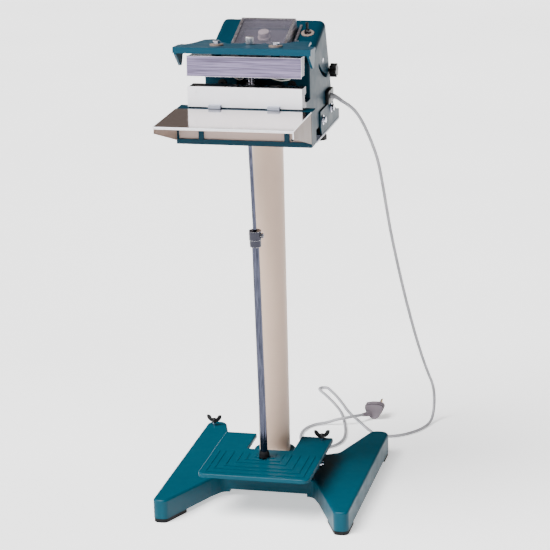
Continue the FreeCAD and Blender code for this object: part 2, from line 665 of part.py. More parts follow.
def make_lower_jaw():
    bar = block(("-jaw_half_length + 1", "-jaw_face + cover_thick", "deck_top + 0.1"),
                ("2 * jaw_half_length - 2", "jaw_face - jaw_rear", "jaw_top - deck_top - 0.1"))
    groove = block(("-jaw_half_length", "-jaw_rear - 12", "deck_top + 10"),
                   ("2 * jaw_half_length", "20", "18"))
    node("lower_jaw_bar", cut(bar, groove))
    cover = block(("-jaw_half_length", "-jaw_face", "jaw_bottom"),
                  ("2 * jaw_half_length", "cover_thick", "jaw_top + 2.8 - jaw_bottom"))
    screw_holes = []
    screws = []
    for across in (-108, 108):
        screw_holes.append(cylinder((str(across), "-jaw_face - 1", "jaw_top - 8"), (0, 1, 0), "2", "4"))
        shank = cylinder((str(across), "-jaw_face - 0.2", "jaw_top - 8"), (0, 1, 0), "2",
                         "cover_thick + 0.2")
        head = cylinder((str(across), "-jaw_face - 1.4", "jaw_top - 8"), (0, 1, 0), "3.2", "1.4")
        screws.append(fuse(shank, head))
    node("lower_jaw_cover", cut(cover, *screw_holes))
    node("cover_screws", COVER_SCREWS + screws)
    node("jaw_insulation_strip", block(("-jaw_half_length + 2", "-jaw_face + 2", "jaw_top + 0.02"),
                                       ("2 * jaw_half_length - 4", "20", "strip_thick")))
    ribbon_corner = ("-jaw_half_length + 14", "-jaw_face + 9", "jaw_top + 0.04 + strip_thick")
    node("heating_ribbon", block(ribbon_corner, ("2 * jaw_half_length - 28", "5", "0.4")))
    clips = []
    for side in (-1, 1):
        clip = block(("%d * boss_place - 13" % side, "-jaw_face - 10.2", "tray_top + 1.8"),
                     ("26", "10", "7.2"))
        clips.append(clip)
    node("cover_clips", clips)


# ---------------------------------------------------------------- arm

def make_arm():
    body = new_body()
    right_side = [("plate_front_half", "-plate_front"), ("plate_front_half", "-172"), ("131", "-156"),
                  ("123", "-118"), ("118", "-70"), ("102", "-60"), ("86", "-68"), ("70", "-108"),
                  ("50", "-132"), ("plate_rear_half", "-plate_rear")]
    pad(body, outline(body, "XY_Plane", mirrored(right_side), "plate_top - plate_thick"), "plate_thick")
    flange = block(("-plate_front_half", "-plate_front", "plate_top - 13"),
                   ("2 * plate_front_half", "4", "13"))
    ears = []
    for side in (-1, 1):
        ear = new_body()
        face = [("-plate_front", "plate_top"), ("-plate_front", "plate_top - 16"),
                ("-plate_front + 36", "plate_top - 43"), ("-plate_front + 46", "plate_top - 43"),
                ("-plate_front + 56", "plate_top - 20"), ("-plate_front + 58", "plate_top")]
        where = "plate_front_half - 8" if side > 0 else "-plate_front_half + 3"
        pad(ear, outline(ear, "YZ_Plane", face, where), "5")
        ears.append(ear)
    ribs = []
    for side in (-1, 1):
        ribs.append(block(("%d * 21 - 3" % side, "-149", "neck_bottom"),
                          ("6", "57", "plate_top - plate_thick / 2 - neck_bottom")))
    neck = block(("-neck_half_width", "-120", "neck_bottom"),
                 ("2 * neck_half_width", "120 + hinge_y", "neck_top - neck_bottom"))
    boss = cylinder(("-neck_half_width", "hinge_y", "hinge_z"), (1, 0, 0), "13", "2 * neck_half_width")
    pads = []
    for side in (-1, 1):
        pads.append(cylinder(("%d * boss_place" % side, "boss_y", "upper_top + 0.1"), (0, 0, 1), "10",
                             "plate_top - upper_top - plate_thick"))
    bolt_ways = []
    for side in (-1, 1):
        bolt_ways.append(cylinder(("%d * boss_place" % side, "boss_y", "upper_top - 5"), (0, 0, 1),
                                  "4.02", "60"))
    shaft_bore = cylinder(("-60", "hinge_y", "hinge_z"), (1, 0, 0), "shaft_radius + 0.05", "120")
    bolt_way = cylinder(("0", "link_y - 5.1", "1000"), (0, 0, 1), "6.2", "60")
    whole = fuse(body, flange, neck, boss, *ribs, *ears, *pads)
    node("arm_casting", cut(whole, shaft_bore, bolt_way, *bolt_ways), arm_place)


def make_arm_shaft():
    shaft = cylinder(("-115.5", "hinge_y", "hinge_z"), (1, 0, 0), "shaft_radius", "231")
    bushes = [shaft]
    for side in (-1, 1):
        flange = cylinder(("%d * (head_half_width - wall - 3)" % side, "hinge_y", "hinge_z"),
                          (side, 0, 0), "9", "2.9")
        sleeve = cylinder(("%d * (head_half_width - wall - 3)" % side, "hinge_y", "hinge_z"),
                          (side, 0, 0), "5.95", "6")
        hole = cylinder(("%d * 80" % side, "hinge_y", "hinge_z"), (side, 0, 0), "shaft_radius", "60")
        bushes.append(cut(fuse(flange, sleeve), hole))
    node("arm_hinge_shaft", bushes)


def make_upper_jaw():
    bar = block(("-jaw_half_length + 2", "-upper_face + cover_thick + 0.1", "upper_bottom + 3"),
                ("2 * jaw_half_length - 4", "36", "upper_top - upper_bottom - 3"))
    bolt_bores = []
    for side in (-1, 1):
        bolt_bores.append(cylinder(("%d * boss_place" % side, "boss_y", "upper_top - 14"), (0, 0, 1),
                                   "4.02", "30"))
    node("upper_jaw_bar", cut(bar, *bolt_bores), arm_place)
    node("upper_jaw_cover", block(("-jaw_half_length", "-upper_face", "upper_bottom"),
                                  ("2 * jaw_half_length", "cover_thick", "upper_top - upper_bottom")),
         arm_place)
    node("silicone_strip", block(("-jaw_half_length + 4", "-upper_face + 4", "upper_bottom"),
                                 ("2 * jaw_half_length - 8", "14", "2.9")), arm_place)
    washers = []
    bolts = []
    for side in (-1, 1):
        place = "%d * boss_place" % side
        ring = cylinder((place, "boss_y", "plate_top"), (0, 0, 1), "14.5", "3.5")
        hole = cylinder((place, "boss_y", "plate_top - 1"), (0, 0, 1), "4.02", "6")
        washers.append(cut(ring, hole))
        head = hexagon((place, "boss_y", "plate_top + 3.6"), (0, 0, 1), "15.5", "6.5")
        shank = cylinder((place, "boss_y", "upper_top - 13"), (0, 0, 1), "4",
                         "plate_top + 17 - upper_top")
        bolts.append(fuse(head, shank))
    node("boss_washers", washers, arm_place)
    node("upper_jaw_bolts", bolts, arm_place)


def make_jaw_leads():
    """Two white wires from the upper jaw's ends towards the housing."""
    leads = []
    for start_across, end_across in ((-44, -28), (20, 75)):
        start = Vector(start_across, -157, 996)
        end = Vector(end_across, -88, 962)
        curve = Part.Arc(start, start + (end - start) * 0.5 + Vector(0, -4, -12), end).toShape()
        section = Part.Wire(Part.Circle(start, curve.tangentAt(curve.FirstParameter), 1.4).toShape())
        leads.append(coded(Part.Wire(curve).makePipeShell([section], True, True)))
    node("upper_jaw_leads", leads, arm_place)


def make_spring():
    """The return spring, set forward so that the bolt stays clear of it as the arm closes."""
    low = size["deck_top"] + 1.2
    high = 1050.5
    wire = 0.9
    turns = 13
    helix = Part.makeHelix((high - low - 2 * wire) / turns, high - low - 2 * wire, 9.3)
    section = Part.Wire(Part.Circle(Vector(9.3, 0, 0), Vector(0, 1, 0), wire).toShape())
    coil = Part.Wire(helix).makePipeShell([section], True, True)
    coil.translate(Vector(0, size["link_y"] - 1, low + wire))
    node("return_spring", [coded(coil)])


# ---------------------------------------------------------------- control panel

def panel_block(across, along, height, lengths):
    item = doc.addObject("Part::Box", "PanelBlock")
    for prop, text in zip(("Length", "Width", "Height"), lengths):
        bind(item, prop, text)
    item.Placement.Base = Vector(across, along, height)
    return item


WINDOW = {"half_width": 61, "rear": -42, "front": -157, "height": 25, "rail": 6}


def make_window():
    half = WINDOW["half_width"]
    rear = WINDOW["rear"]
    length = rear - WINDOW["front"]
    rail = WINDOW["rail"]
    sill_outer = panel_block(-half, WINDOW["front"], 0.1,
                             ("%g" % (2 * half), "%g" % length, "1.5"))
    sill_inner = panel_block(-half + 3, WINDOW["front"] + 3, 0,
                             ("%g" % (2 * half - 6), "%g" % (length - 6), "3"))
    sill = cut(sill_outer, sill_inner)
    walls = cut(panel_block(-half, WINDOW["front"], 2.0,
                            ("%g" % (2 * half), "%g" % length, "%g" % (WINDOW["height"] - 4.1))),
                panel_block(-half + 2, WINDOW["front"] + 2, 0,
                            ("%g" % (2 * half - 4), "%g" % (length - 4), "40")))
    top = cut(panel_block(-half, WINDOW["front"], WINDOW["height"] - 2,
                          ("%g" % (2 * half), "%g" % length, "2")),
              panel_block(-half + rail, WINDOW["front"] + rail, 0,
                          ("%g" % (2 * half - 2 * rail), "%g" % (length - 2 * rail), "40")))
    node("window_frame", [top, walls], panel_place)
    pane = panel_block(-half + 2.2, WINDOW["front"] + 2.2, WINDOW["height"] - 4.1,
                       ("%g" % (2 * half - 4.4), "%g" % (length - 4.4), "2"))
    node("window_pane", pane, panel_place)
    fixed = [sill, panel_block(66, -103, 0.1, ("5", "71", "3.5"))]
    for across, along in ((73.5, -98), (67, -110)):
        fixed.append(cylinder((str(across), str(along), "0.1"), (0, 0, 1), "2", "1.6"))
    for side in (-1, 1):
        fixed.append(cylinder((str(side * 42 - 10), str(rear + 1.8), "3.4"), (1, 0, 0), "1.6", "20"))
    node("window_base_frame", fixed, panel_place)


def make_timer():
    plate = panel_block(-52, WINDOW["front"] + 12, 0.1, ("104", "92", "1.2"))
    hole = cylinder(("-2", "-93", "-2"), (0, 0, 1), "4", "12")
    washer = cylinder(("-2", "-93", "1.2"), (0, 0, 1), "10.5", "3.4")
    pot = cylinder(("-2", "-93", "-4"), (0, 0, -1), "16", "18")
    node("timer_dial", [cut(fuse(plate, washer), hole), pot], panel_place)
    skirt = cylinder(("-2", "-93", "5.2"), (0, 0, 1), "14", "2.8")
    spindle = cylinder(("-2", "-93", "-3.9"), (0, 0, 1), "3.95", "10.2")
    grip = cylinder(("-2", "-93", "8.1"), (0, 0, 1), "11.6", "12.2")
    mark = panel_block(-2.6, -93 + 6, 19.5, ("1.2", "5", "0.9"))
    node("timer_knob", [fuse(skirt, spindle), cut(grip, mark)], panel_place)


def make_toggle():
    ring = cylinder(("88", "-62", "0.1"), (0, 0, 1), "14.5", "1.4")
    bites = []
    for step in range(12):
        angle = math.radians(30 * step)
        across, along = 88 + 16 * math.cos(angle), -62 + 16 * math.sin(angle)
        bites.append(cylinder(("%g" % across, "%g" % along, "-1"), (0, 0, 1), "2.6", "5"))
    hole = cylinder(("88", "-62", "-1"), (0, 0, 1), "6.1", "5")
    node("toggle_plate", cut(ring, hole, *bites), panel_place)
    bush = cylinder(("88", "-62", "-3.4"), (0, 0, 1), "6", "11.4")
    room = cylinder(("88", "-62", "-1"), (0, 0, 1), "4.6", "11")
    case = panel_block(79, -76, -22, ("18", "28", "18.6"))
    nut = cut(hexagon(("88", "-62", "1.6"), (0, 0, 1), "17", "2.4"),
              cylinder(("88", "-62", "1"), (0, 0, 1), "6.02", "5"))
    node("toggle_switch", [fuse(cut(bush, room), case), nut], panel_place)
    ball = Part.makeSphere(4.2)
    lever = Part.makeCone(2.0, 3.4, 19, Vector(0, 0, 0), Vector(0, 0.2, 1)).fuse(ball)
    tip = Part.makeSphere(3.4, Vector(0, 0.2, 1).normalize() * 19)
    lever = lever.fuse(tip).removeSplitter()
    spot = panel_place.multiply(Placement(Vector(88, -62, 4.4), Rotation()))
    node("toggle_lever", coded(lever), spot)


def make_star_knob():
    """Black lobed knob on the right side wall."""
    centre = Vector(size["head_half_width"] + 3.2, 119, 952)
    solid = Part.makeCylinder(11, 15, centre, Vector(1, 0, 0))
    for step in range(6):
        angle = math.radians(60 * step + 12)
        spot = centre + Vector(0, 11 * math.cos(angle), 11 * math.sin(angle))
        solid = solid.fuse(Part.makeCylinder(4.5, 15, spot, Vector(1, 0, 0)))
    stud = Part.makeCylinder(4, 26, centre - Vector(12, 0, 0), Vector(1, 0, 0))
    node("side_star_knob", [coded(solid.removeSplitter().cut(stud)), coded(stud)])


# ---------------------------------------------------------------- parts inside

def make_inside():
    core = cut(block(("-100", "66", "852.3"), ("66", "54", "62")),
               block(("-90", "50", "866.3"), ("14", "80", "34")),
               block(("-58", "50", "866.3"), ("14", "80", "34")))
    coil = cut(block(("-89", "58", "867.3"), ("44", "70", "32")),
               block(("-76.2", "65.8", "860"), ("18.4", "54.4", "62")))
    node("transformer", [core, coil])
    board = block(("20", "20", "856"), ("72", "60", "1.6"))
    parts = [board, block(("26", "26", "857.7"), ("18", "16", "14")),
             block(("54", "30", "857.7"), ("22", "12", "10")),
             cylinder(("44", "66", "857.7"), (0, 0, 1), "7", "22")]
    for across in (24, 88):
        for along in (24, 76):
            parts.append(cylinder((str(across), str(along), "852.3"), (0, 0, 1), "3", "3.6"))
    node("timer_board", parts)
    node("terminal_block", block(("30", "-50", "852.4"), ("48", "20", "16")))
    node("microswitch", block(("52", "20", "966"), ("10", "28", "16")))


# ---------------------------------------------------------------- cord

GLAND = Vector(124.2, 98, 899)

# The lead hangs from the gland, lands behind the right leg, runs behind the post, folds back on
# itself, passes behind the pedal and goes over both earlier strands to the plug.
CORD_ROUTE = [
    (147, 98, 888), (168, 102, 876), (188, 114, 845), (205, 134, 794), (217, 162, 738), (224, 192, 654),
    (231, 222, 563), (241, 259, 468), (251, 302, 374), (261, 350, 284), (271, 400, 202),
    (280, 447, 136), (286, 489, 90), (288, 497, 53), (288, 483, 20), (285, 451, 3.7),
    (270, 404, 3.7), (240, 364, 3.7), (205, 342, 3.7), (170, 347, 3.7), (139, 386, 3.7),
    (108, 438, 3.7), (72, 491, 3.7), (44, 553, 3.7), (14, 611, 3.7), (-6, 643, 3.7),
    (-16, 660, 3.7), (-26, 663, 3.7), (-34, 658, 3.7), (-37, 648, 3.7), (-27, 631, 3.7),
    (-6, 600, 3.7), (29, 540, 3.7), (58, 480, 3.7), (78, 414, 3.7), (94, 348, 3.7),
    (98, 294, 3.7), (81, 252, 3.7), (44, 233, 3.7), (8, 252, 3.7), (-10, 300, 3.7),
    (-14, 352, 3.7), (4, 393, 3.7), (34, 407, 5), (60, 409, 15), (83, 413, 19),
    (102, 426, 20), (117, 445, 17),
]


def cord_path(points, diameter):
    """Straight runs joined by tangent arcs, each as large as its two runs allow."""
    corners = [Vector(*point) for point in points]
    edges = []
    radii = []
    last = corners[0]
    for i in range(1, len(corners) - 1):
        into = corners[i] - corners[i - 1]
        out = corners[i + 1] - corners[i]
        turn = into.getAngle(out)
        reach = 0.45 * min(into.Length, out.Length)
        radius = reach / math.tan(turn / 2)
        radii.append((round(radius / diameter, 1), round(math.degrees(turn))))
        into_way = Vector(into).normalize()
        out_way = Vector(out).normalize()
        start = corners[i] - into_way * reach
        end = corners[i] + out_way * reach
        to_centre = (out_way - into_way).normalize()
        middle = corners[i] + to_centre * (radius / math.cos(turn / 2) - radius)
        edges.append(Part.LineSegment(last, start).toShape())
        edges.append(Part.Arc(start, middle, end).toShape())
        last = end
    edges.append(Part.LineSegment(last, corners[-1]).toShape())
    print("cord bend radii in diameters, with turns in degrees:", radii)
    return Part.Wire(edges)


def make_cord():
    radius = size["cord_diameter"] / 2
    path = cord_path(CORD_ROUTE, size["cord_diameter"])
    start = Vector(*CORD_ROUTE[0])
    away = (Vector(*CORD_ROUTE[1]) - start).normalize()
    section = Part.Wire(Part.Circle(start, away, radius).toShape())
    tube = path.makePipeShell([section], True, True)
    expected = math.pi * radius ** 2 * path.Length
    print("cord length %.0f mm, volume over section x length %.4f" % (path.Length,
                                                                  tube.Volume / expected))
    node("mains_cord", coded(tube))
    runs = [(Vector(*b) - Vector(*a)).Length for a, b in zip(CORD_ROUTE, CORD_ROUTE[1:])]
    print("cord runs in mm:", [round(run) for run in runs])


def make_gland():
    plate = block(("head_half_width + 0.1", "74", "883"), ("8", "52", "30"))
    hole = cylinder(("110", "98", "899"), (1, 0, 0), "7.02", "30")
    tip = Vector(*CORD_ROUTE[0])
    root_ring = Part.Wire(Part.Circle(GLAND, Vector(1, 0, 0), 7).toShape())
    tip_ring = Part.Wire(Part.Circle(tip, Vector(*CORD_ROUTE[1]) - tip, 4.4).toShape())
    nose = Part.makeLoft([root_ring, tip_ring], True, True)
    tail = Part.makeCylinder(7, 14, GLAND - Vector(14, 0, 0), Vector(1, 0, 0))
    relief = nose.fuse(tail)
    node("cord_gland", [cut(plate, hole), coded(relief)])


def make_plug():
    """A three-pin moulded plug lying on its edge behind the stand."""
    end = Vector(*CORD_ROUTE[-1])
    way = (end - Vector(*CORD_ROUTE[-2])).normalize()
    stub = Part.makeCone(4.4, 6.4, 20, end, way)
    centre = end + way * 38 + Vector(4, 0, 5)
    corners = [(-24, 17), (22, 19), (24, 8), (7, -21), (-8, -21), (-22, -3)]
    outline_points = [centre + Vector(x, -12, z) for x, z in corners]
    face = Part.Face(Part.makePolygon(outline_points + [outline_points[0]]))
    solid = face.extrude(Vector(0, 24, 0))
    sides = [edge for edge in solid.Edges if edge.BoundBox.YLength > 20]
    solid = solid.makeFillet(5, sides)
    rims = [edge for edge in solid.Edges if edge.BoundBox.YLength < 0.01]
    solid = solid.makeFillet(2, rims)
    lift = -solid.BoundBox.ZMin + 0.1
    solid.translate(Vector(0, 0, lift))
    node("plug_body", coded(solid.fuse(stub).removeSplitter()))
    pins = []
    middle = centre + Vector(0, 12, lift)
    for x, z, width, height in ((-11, 0, 6, 4), (9, 11, 4, 8), (9, -6, 4, 6)):
        pins.append(coded(Part.makeBox(width, 17, height, middle + Vector(x, 0.05, z))))
    node("plug_pins", pins)


# ---------------------------------------------------------------- build, check and write

make_base()
make_feet()
make_post()
make_pedal_shaft()
make_wing_bolts()
make_pedal()
make_pull_rod()
make_pressure_nut()
make_housing()
make_head_covers()
make_bracket()
make_clamp_knob()
make_beam()
make_tray()
make_lower_jaw()
make_arm()
make_arm_shaft()
make_upper_jaw()
make_jaw_leads()
make_spring()
make_window()
make_timer()
make_toggle()
make_star_knob()
make_inside()
make_cord()
make_gland()
make_plug()
doc.recompute()

for item in doc.Objects:
    if "Invalid" in item.State or "Error" in item.State:
        raise ValueError("%s (%s) is in state %s" % (item.Label, item.TypeId, item.State))
faulty = [item.Label for item in nodes if item.Shape.isNull() or not item.Shape.isValid()]
if faulty:
    raise ValueError("no valid shape: " + ", ".join(faulty))

os.makedirs("parts", exist_ok=True)
for item in nodes:
    item.Shape.exportStep("parts/%s.step" % item.Label)
print(len(nodes), "nodes written")
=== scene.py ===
"""Looks of the foot-operated impulse heat sealer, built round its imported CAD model.

Metres, in the model's own frame: floor at Z = 0, the operator at -Y, the origin under the middle.
"""

import json
import math

import bmesh
import bpy
from mathutils import Matrix, Vector


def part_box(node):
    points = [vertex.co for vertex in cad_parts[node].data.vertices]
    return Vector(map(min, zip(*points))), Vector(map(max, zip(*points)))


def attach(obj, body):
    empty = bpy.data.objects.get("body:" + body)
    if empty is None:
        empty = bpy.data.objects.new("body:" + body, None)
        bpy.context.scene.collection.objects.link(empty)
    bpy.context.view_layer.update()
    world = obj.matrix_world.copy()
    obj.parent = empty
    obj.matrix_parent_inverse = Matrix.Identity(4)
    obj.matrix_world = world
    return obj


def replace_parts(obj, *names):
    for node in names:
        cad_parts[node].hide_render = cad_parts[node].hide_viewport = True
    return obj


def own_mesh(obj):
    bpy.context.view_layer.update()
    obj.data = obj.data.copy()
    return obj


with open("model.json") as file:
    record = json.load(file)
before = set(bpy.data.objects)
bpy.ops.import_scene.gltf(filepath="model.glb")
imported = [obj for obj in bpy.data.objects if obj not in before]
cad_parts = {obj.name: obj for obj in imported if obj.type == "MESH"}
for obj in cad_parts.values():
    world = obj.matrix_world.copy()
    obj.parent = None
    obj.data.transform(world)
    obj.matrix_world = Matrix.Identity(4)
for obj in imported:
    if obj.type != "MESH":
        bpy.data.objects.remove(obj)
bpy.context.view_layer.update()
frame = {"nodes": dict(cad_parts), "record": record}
nodes = frame["nodes"]

# how far behind the model's origin the column stands
POST_Y = sum(corner[1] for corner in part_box("post_tube")) / 2


# ---------------------------------------------------------------- colour and material helpers

def srgb(red, green, blue):
    """A colour given as 0 to 255 display values, turned into linear RGBA."""
    def linear(value):
        value /= 255
        return value / 12.92 if value <= 0.04045 else ((value + 0.055) / 1.055) ** 2.4
    return (linear(red), linear(green), linear(blue), 1.0)


def shade(colour, factor):
    return tuple(min(1.0, channel * factor) for channel in colour[:3]) + (1.0,)


class Graph:
    """A material's node tree with short calls for what the materials here share."""

    def __init__(self, name):
        self.material = bpy.data.materials.new(name)
        self.material.use_nodes = True
        self.tree = self.material.node_tree
        self.shader = self.tree.nodes["Principled BSDF"]
        self.coords = self.add("ShaderNodeTexCoord").outputs["Object"]

    def add(self, kind, **settings):
        node = self.tree.nodes.new(kind)
        for key, value in settings.items():
            setattr(node, key, value)
        return node

    def link(self, output, socket):
        self.tree.links.new(output, socket)

    def put(self, **values):
        """Set constants on the shader; underscores stand for spaces."""
        for key, value in values.items():
            self.shader.inputs[key.replace("_", " ")].default_value = value

    def stretched(self, scale, tilt=0.0):
        """Object coordinates scaled by axis, after a turn about X."""
        mapping = self.add("ShaderNodeMapping")
        mapping.inputs["Scale"].default_value = scale
        mapping.inputs["Rotation"].default_value = (tilt, 0, 0)
        self.link(self.coords, mapping.inputs["Vector"])
        return mapping.outputs["Vector"]

    def noise(self, scale, detail=3, roughness=0.55, stretch=None, tilt=0.0):
        node = self.add("ShaderNodeTexNoise")
        node.inputs["Scale"].default_value = scale
        node.inputs["Detail"].default_value = detail
        node.inputs["Roughness"].default_value = roughness
        self.link(self.stretched(stretch, tilt) if stretch else self.coords, node.inputs["Vector"])
        return node.outputs["Fac"]

    def ramp(self, factor, stops):
        node = self.add("ShaderNodeValToRGB")
        while len(node.color_ramp.elements) < len(stops):
            node.color_ramp.elements.new(0.5)
        for element, (place, colour) in zip(node.color_ramp.elements, stops):
            element.position = place
            element.color = colour
        self.link(factor, node.inputs["Fac"])
        return node.outputs["Color"]

    def remap(self, factor, low, high, source=(0.3, 0.7)):
        node = self.add("ShaderNodeMapRange")
        node.inputs["From Min"].default_value = source[0]
        node.inputs["From Max"].default_value = source[1]
        node.inputs["To Min"].default_value = low
        node.inputs["To Max"].default_value = high
        self.link(factor, node.inputs["Value"])
        return node.outputs["Result"]

    def mix(self, factor, first, second):
        node = self.add("ShaderNodeMix", data_type="RGBA")
        self.link(factor, node.inputs[0])
        for socket, value in ((6, first), (7, second)):
            if isinstance(value, tuple):
                node.inputs[socket].default_value = value
            else:
                self.link(value, node.inputs[socket])
        return node.outputs[2]

    def bump(self, height, strength, distance):
        node = self.add("ShaderNodeBump")
        node.inputs["Strength"].default_value = strength
        node.inputs["Distance"].default_value = distance
        self.link(height, node.inputs["Height"])
        self.link(node.outputs["Normal"], self.shader.inputs["Normal"])

    def edge_mask(self, radius, low, high):
        """Bright on convex edges and rims: the bevelled normal against the true one."""
        bevel = self.add("ShaderNodeBevel", samples=4)
        bevel.inputs["Radius"].default_value = radius
        geometry = self.add("ShaderNodeNewGeometry")
        dot = self.add("ShaderNodeVectorMath", operation="DOT_PRODUCT")
        self.link(bevel.outputs["Normal"], dot.inputs[0])
        self.link(geometry.outputs["True Normal"], dot.inputs[1])
        return self.remap(dot.outputs["Value"], 1.0, 0.0, (low, high))

    def base(self, colour):
        self.link(colour, self.shader.inputs["Base Color"])

    def rough(self, value):
        self.link(value, self.shader.inputs["Roughness"])


def paint(name, colour, rough=(0.3, 0.42), coat=0.06, edge_wear_and_highlight=0.3, drift=0.05, shine=0.4):
    """Sprayed enamel: faint orange peel, slow colour drift, and convex edges lightened in patches,
    partly rubbed through and partly a painted highlight.
    """
    g = Graph(name)
    slow = g.ramp(g.noise(7, 3), [(0.3, shade(colour, 1 - drift)), (0.7, shade(colour, 1 + drift))])
    # convex edges mixed towards a lighter copy of the colour in noisy patches: part rubbing, part
    # painted edge highlight
    worn_and_highlit = g.add("ShaderNodeMath", operation="MULTIPLY")
    g.link(g.edge_mask(0.0012, 0.90, 0.995), worn_and_highlit.inputs[0])
    g.link(g.remap(g.noise(60, 4), 0.1, edge_wear_and_highlight, (0.4, 0.7)), worn_and_highlit.inputs[1])
    g.base(g.mix(worn_and_highlit.outputs[0], slow, shade(colour, 1.8)))
    g.rough(g.remap(g.noise(22, 4), rough[0], rough[1]))
    g.put(Coat_Weight=coat, Coat_Roughness=0.15, Specular_IOR_Level=shine)
    g.bump(g.noise(600, 2), 0.05, 0.0003)
    return g.material


def bare_metal(name, colour, rough=(0.12, 0.24), stretch=None, scale=180, strength=0.05,
               contrast=0.1, edge=0.0, tilt=0.0):
    """Plated, polished or brushed metal; stretch draws the grain out along an axis, and edge paints
    a near-white highlight onto convex rims.
    """
    g = Graph(name)
    grain = g.noise(scale, 4, 0.6, stretch, tilt)
    body = g.ramp(grain, [(0.3, shade(colour, 1 - contrast)), (0.7, shade(colour, 1 + contrast))])
    # edge: a painted highlight, near-white along convex rims
    if edge:
        body = g.mix(g.edge_mask(edge, 0.90, 0.995), body, (0.95, 0.94, 0.97, 1.0))
    g.base(body)
    blotch = g.noise(14, 4)
    mixed = g.add("ShaderNodeMath", operation="MULTIPLY_ADD")
    g.link(g.remap(grain, 0.0, 0.5 * (rough[1] - rough[0])), mixed.inputs[0])
    mixed.inputs[1].default_value = 1.0
    g.link(g.remap(blotch, rough[0], 0.5 * (rough[0] + rough[1])), mixed.inputs[2])
    g.rough(mixed.outputs[0])
    g.put(Metallic=1.0)
    g.bump(grain, strength, 0.0002)
    return g.material


def moulded(name, colour, rough=(0.3, 0.5), grain=600, strength=0.15, shine=0.5):
    """Moulded plastic or rubber with a fine grain and rubbed patches."""
    g = Graph(name)
    g.base(g.ramp(g.noise(30, 4), [(0.3, shade(colour, 0.86)), (0.7, shade(colour, 1.12))]))
    g.rough(g.remap(g.noise(50, 4), rough[0], rough[1]))
    g.put(Specular_IOR_Level=shine)
    g.bump(g.noise(grain, 3), strength, 0.0002)
    return g.material


# the control panel's slope, as rise and run, turns the window's grain
PANEL_TILT = math.atan2(61, 172)
# streaks drawn out along one axis, longer the smaller the scale: grain on the brushed cover,
# painted reflections on the rods
ALONG_X = (0.02, 1, 1)
ALONG_Z = (1, 1, 0.015)

MATERIALS = {
    "teal": paint("teal_enamel", srgb(2, 56, 74), coat=0.0, shine=0.2),
    "teal_base": paint("teal_base_enamel", srgb(0, 61, 76), rough=(0.34, 0.46), coat=0.0,
                       shine=0.14),
    # the head's teal is the same enamel made darker: painted shade for the head's walls, which face
    # away from the light
    "teal_head_shade": paint("teal_head_shade_enamel", srgb(4, 42, 56), rough=(0.34, 0.46), coat=0.0,
                       shine=0.1),
    "cream": paint("cream_enamel", srgb(190, 164, 146), rough=(0.32, 0.42), edge_wear_and_highlight=0.15),
    "beige": paint("beige_enamel", srgb(158, 138, 130), rough=(0.3, 0.45), edge_wear_and_highlight=0.15),
    "tan": paint("tan_washer_enamel", srgb(128, 112, 104), rough=(0.3, 0.45), edge_wear_and_highlight=0.4),
    # the tray's end plates are polished steel; this brown stands for the warm surroundings they
    # reflect and the shade on them: painted reflection and painted shade
    "gusset_painted_reflection": paint("tray_end_painted_reflection", srgb(122, 104, 94), rough=(0.34, 0.46), edge_wear_and_highlight=0.3,
                     shine=0.15),
    "white": paint("white_enamel", srgb(246, 246, 252), rough=(0.2, 0.3), edge_wear_and_highlight=0.1, drift=0.02),
    "tray": bare_metal("polished_tray_steel", srgb(240, 232, 228), (0.08, 0.14), scale=90,
                       strength=0.02, contrast=0.04),
    # edge on the brushed cover, chrome, dark steel and aluminium paints a near-white highlight
    # along their rims
    "brushed": bare_metal("brushed_jaw_cover", srgb(140, 130, 160), (0.24, 0.44),
                          stretch=ALONG_X, scale=420, strength=0.35, contrast=0.7, edge=0.0018),
    "chrome": bare_metal("chrome_plate", srgb(186, 186, 198), (0.08, 0.18), edge=0.0006),
    # the rods' chrome is darkened and streaked along its length: painted shade and painted
    # reflections
    "rod": bare_metal("rod_chrome_painted_reflections", srgb(70, 72, 86), (0.12, 0.22), stretch=ALONG_Z,
                      scale=420, strength=0.12, contrast=0.6),
    # dark steel: the collar's own finish, and painted shade on the jaw bars
    "collar": bare_metal("blackened_steel_and_shade", srgb(58, 58, 66), (0.22, 0.36), edge=0.0006),
    "aluminium": bare_metal("drawn_aluminium", srgb(222, 206, 214), (0.26, 0.42),
                            stretch=(1, 0.03, 1), scale=420, strength=0.3, contrast=0.55,
                            edge=0.0008, tilt=-PANEL_TILT),
    "grey_plate": paint("grey_enamel", srgb(182, 186, 198), rough=(0.3, 0.5)),
    "clip": paint("clip_enamel", srgb(150, 156, 172), rough=(0.3, 0.45)),
    "rubber": moulded("black_rubber", srgb(16, 16, 18), (0.5, 0.75), shine=0.15),
    "black": moulded("black_moulding", srgb(14, 14, 16), (0.28, 0.42), shine=0.25),
    "silicone": moulded("red_silicone", srgb(196, 120, 104), (0.45, 0.6)),
    "steel": bare_metal("spring_steel", srgb(190, 190, 196), (0.2, 0.34)),
    "wire": moulded("white_wire_skin", srgb(240, 238, 230), (0.35, 0.5)),
    "knob_cream": moulded("cream_knob_moulding", srgb(200, 182, 184), (0.28, 0.42)),
    "dial": moulded("dial_face", srgb(70, 66, 76), (0.35, 0.5)),
    "board": moulded("board_resin", srgb(30, 96, 54), (0.3, 0.5)),
    "cord": moulded("cord_sheath", srgb(150, 150, 154), (0.35, 0.5), grain=900, strength=0.1),
    "plug": moulded("plug_moulding", srgb(112, 104, 111), (0.36, 0.5), shine=0.2),
    "plug_edge": moulded("plug_dark_outline", srgb(40, 37, 44), (0.4, 0.55), shine=0.15),
    "brass": bare_metal("brass_pins", srgb(214, 184, 120), (0.14, 0.26)),
}


def glass():
    g = Graph("smoky_pane_sheet")
    g.base(g.ramp(g.noise(20, 3), [(0.3, srgb(128, 124, 138)), (0.7, srgb(142, 138, 152))]))
    g.rough(g.remap(g.noise(40, 4), 0.05, 0.12))
    g.put(Transmission_Weight=0.6, IOR=1.45, Alpha=0.34)
    return g.material


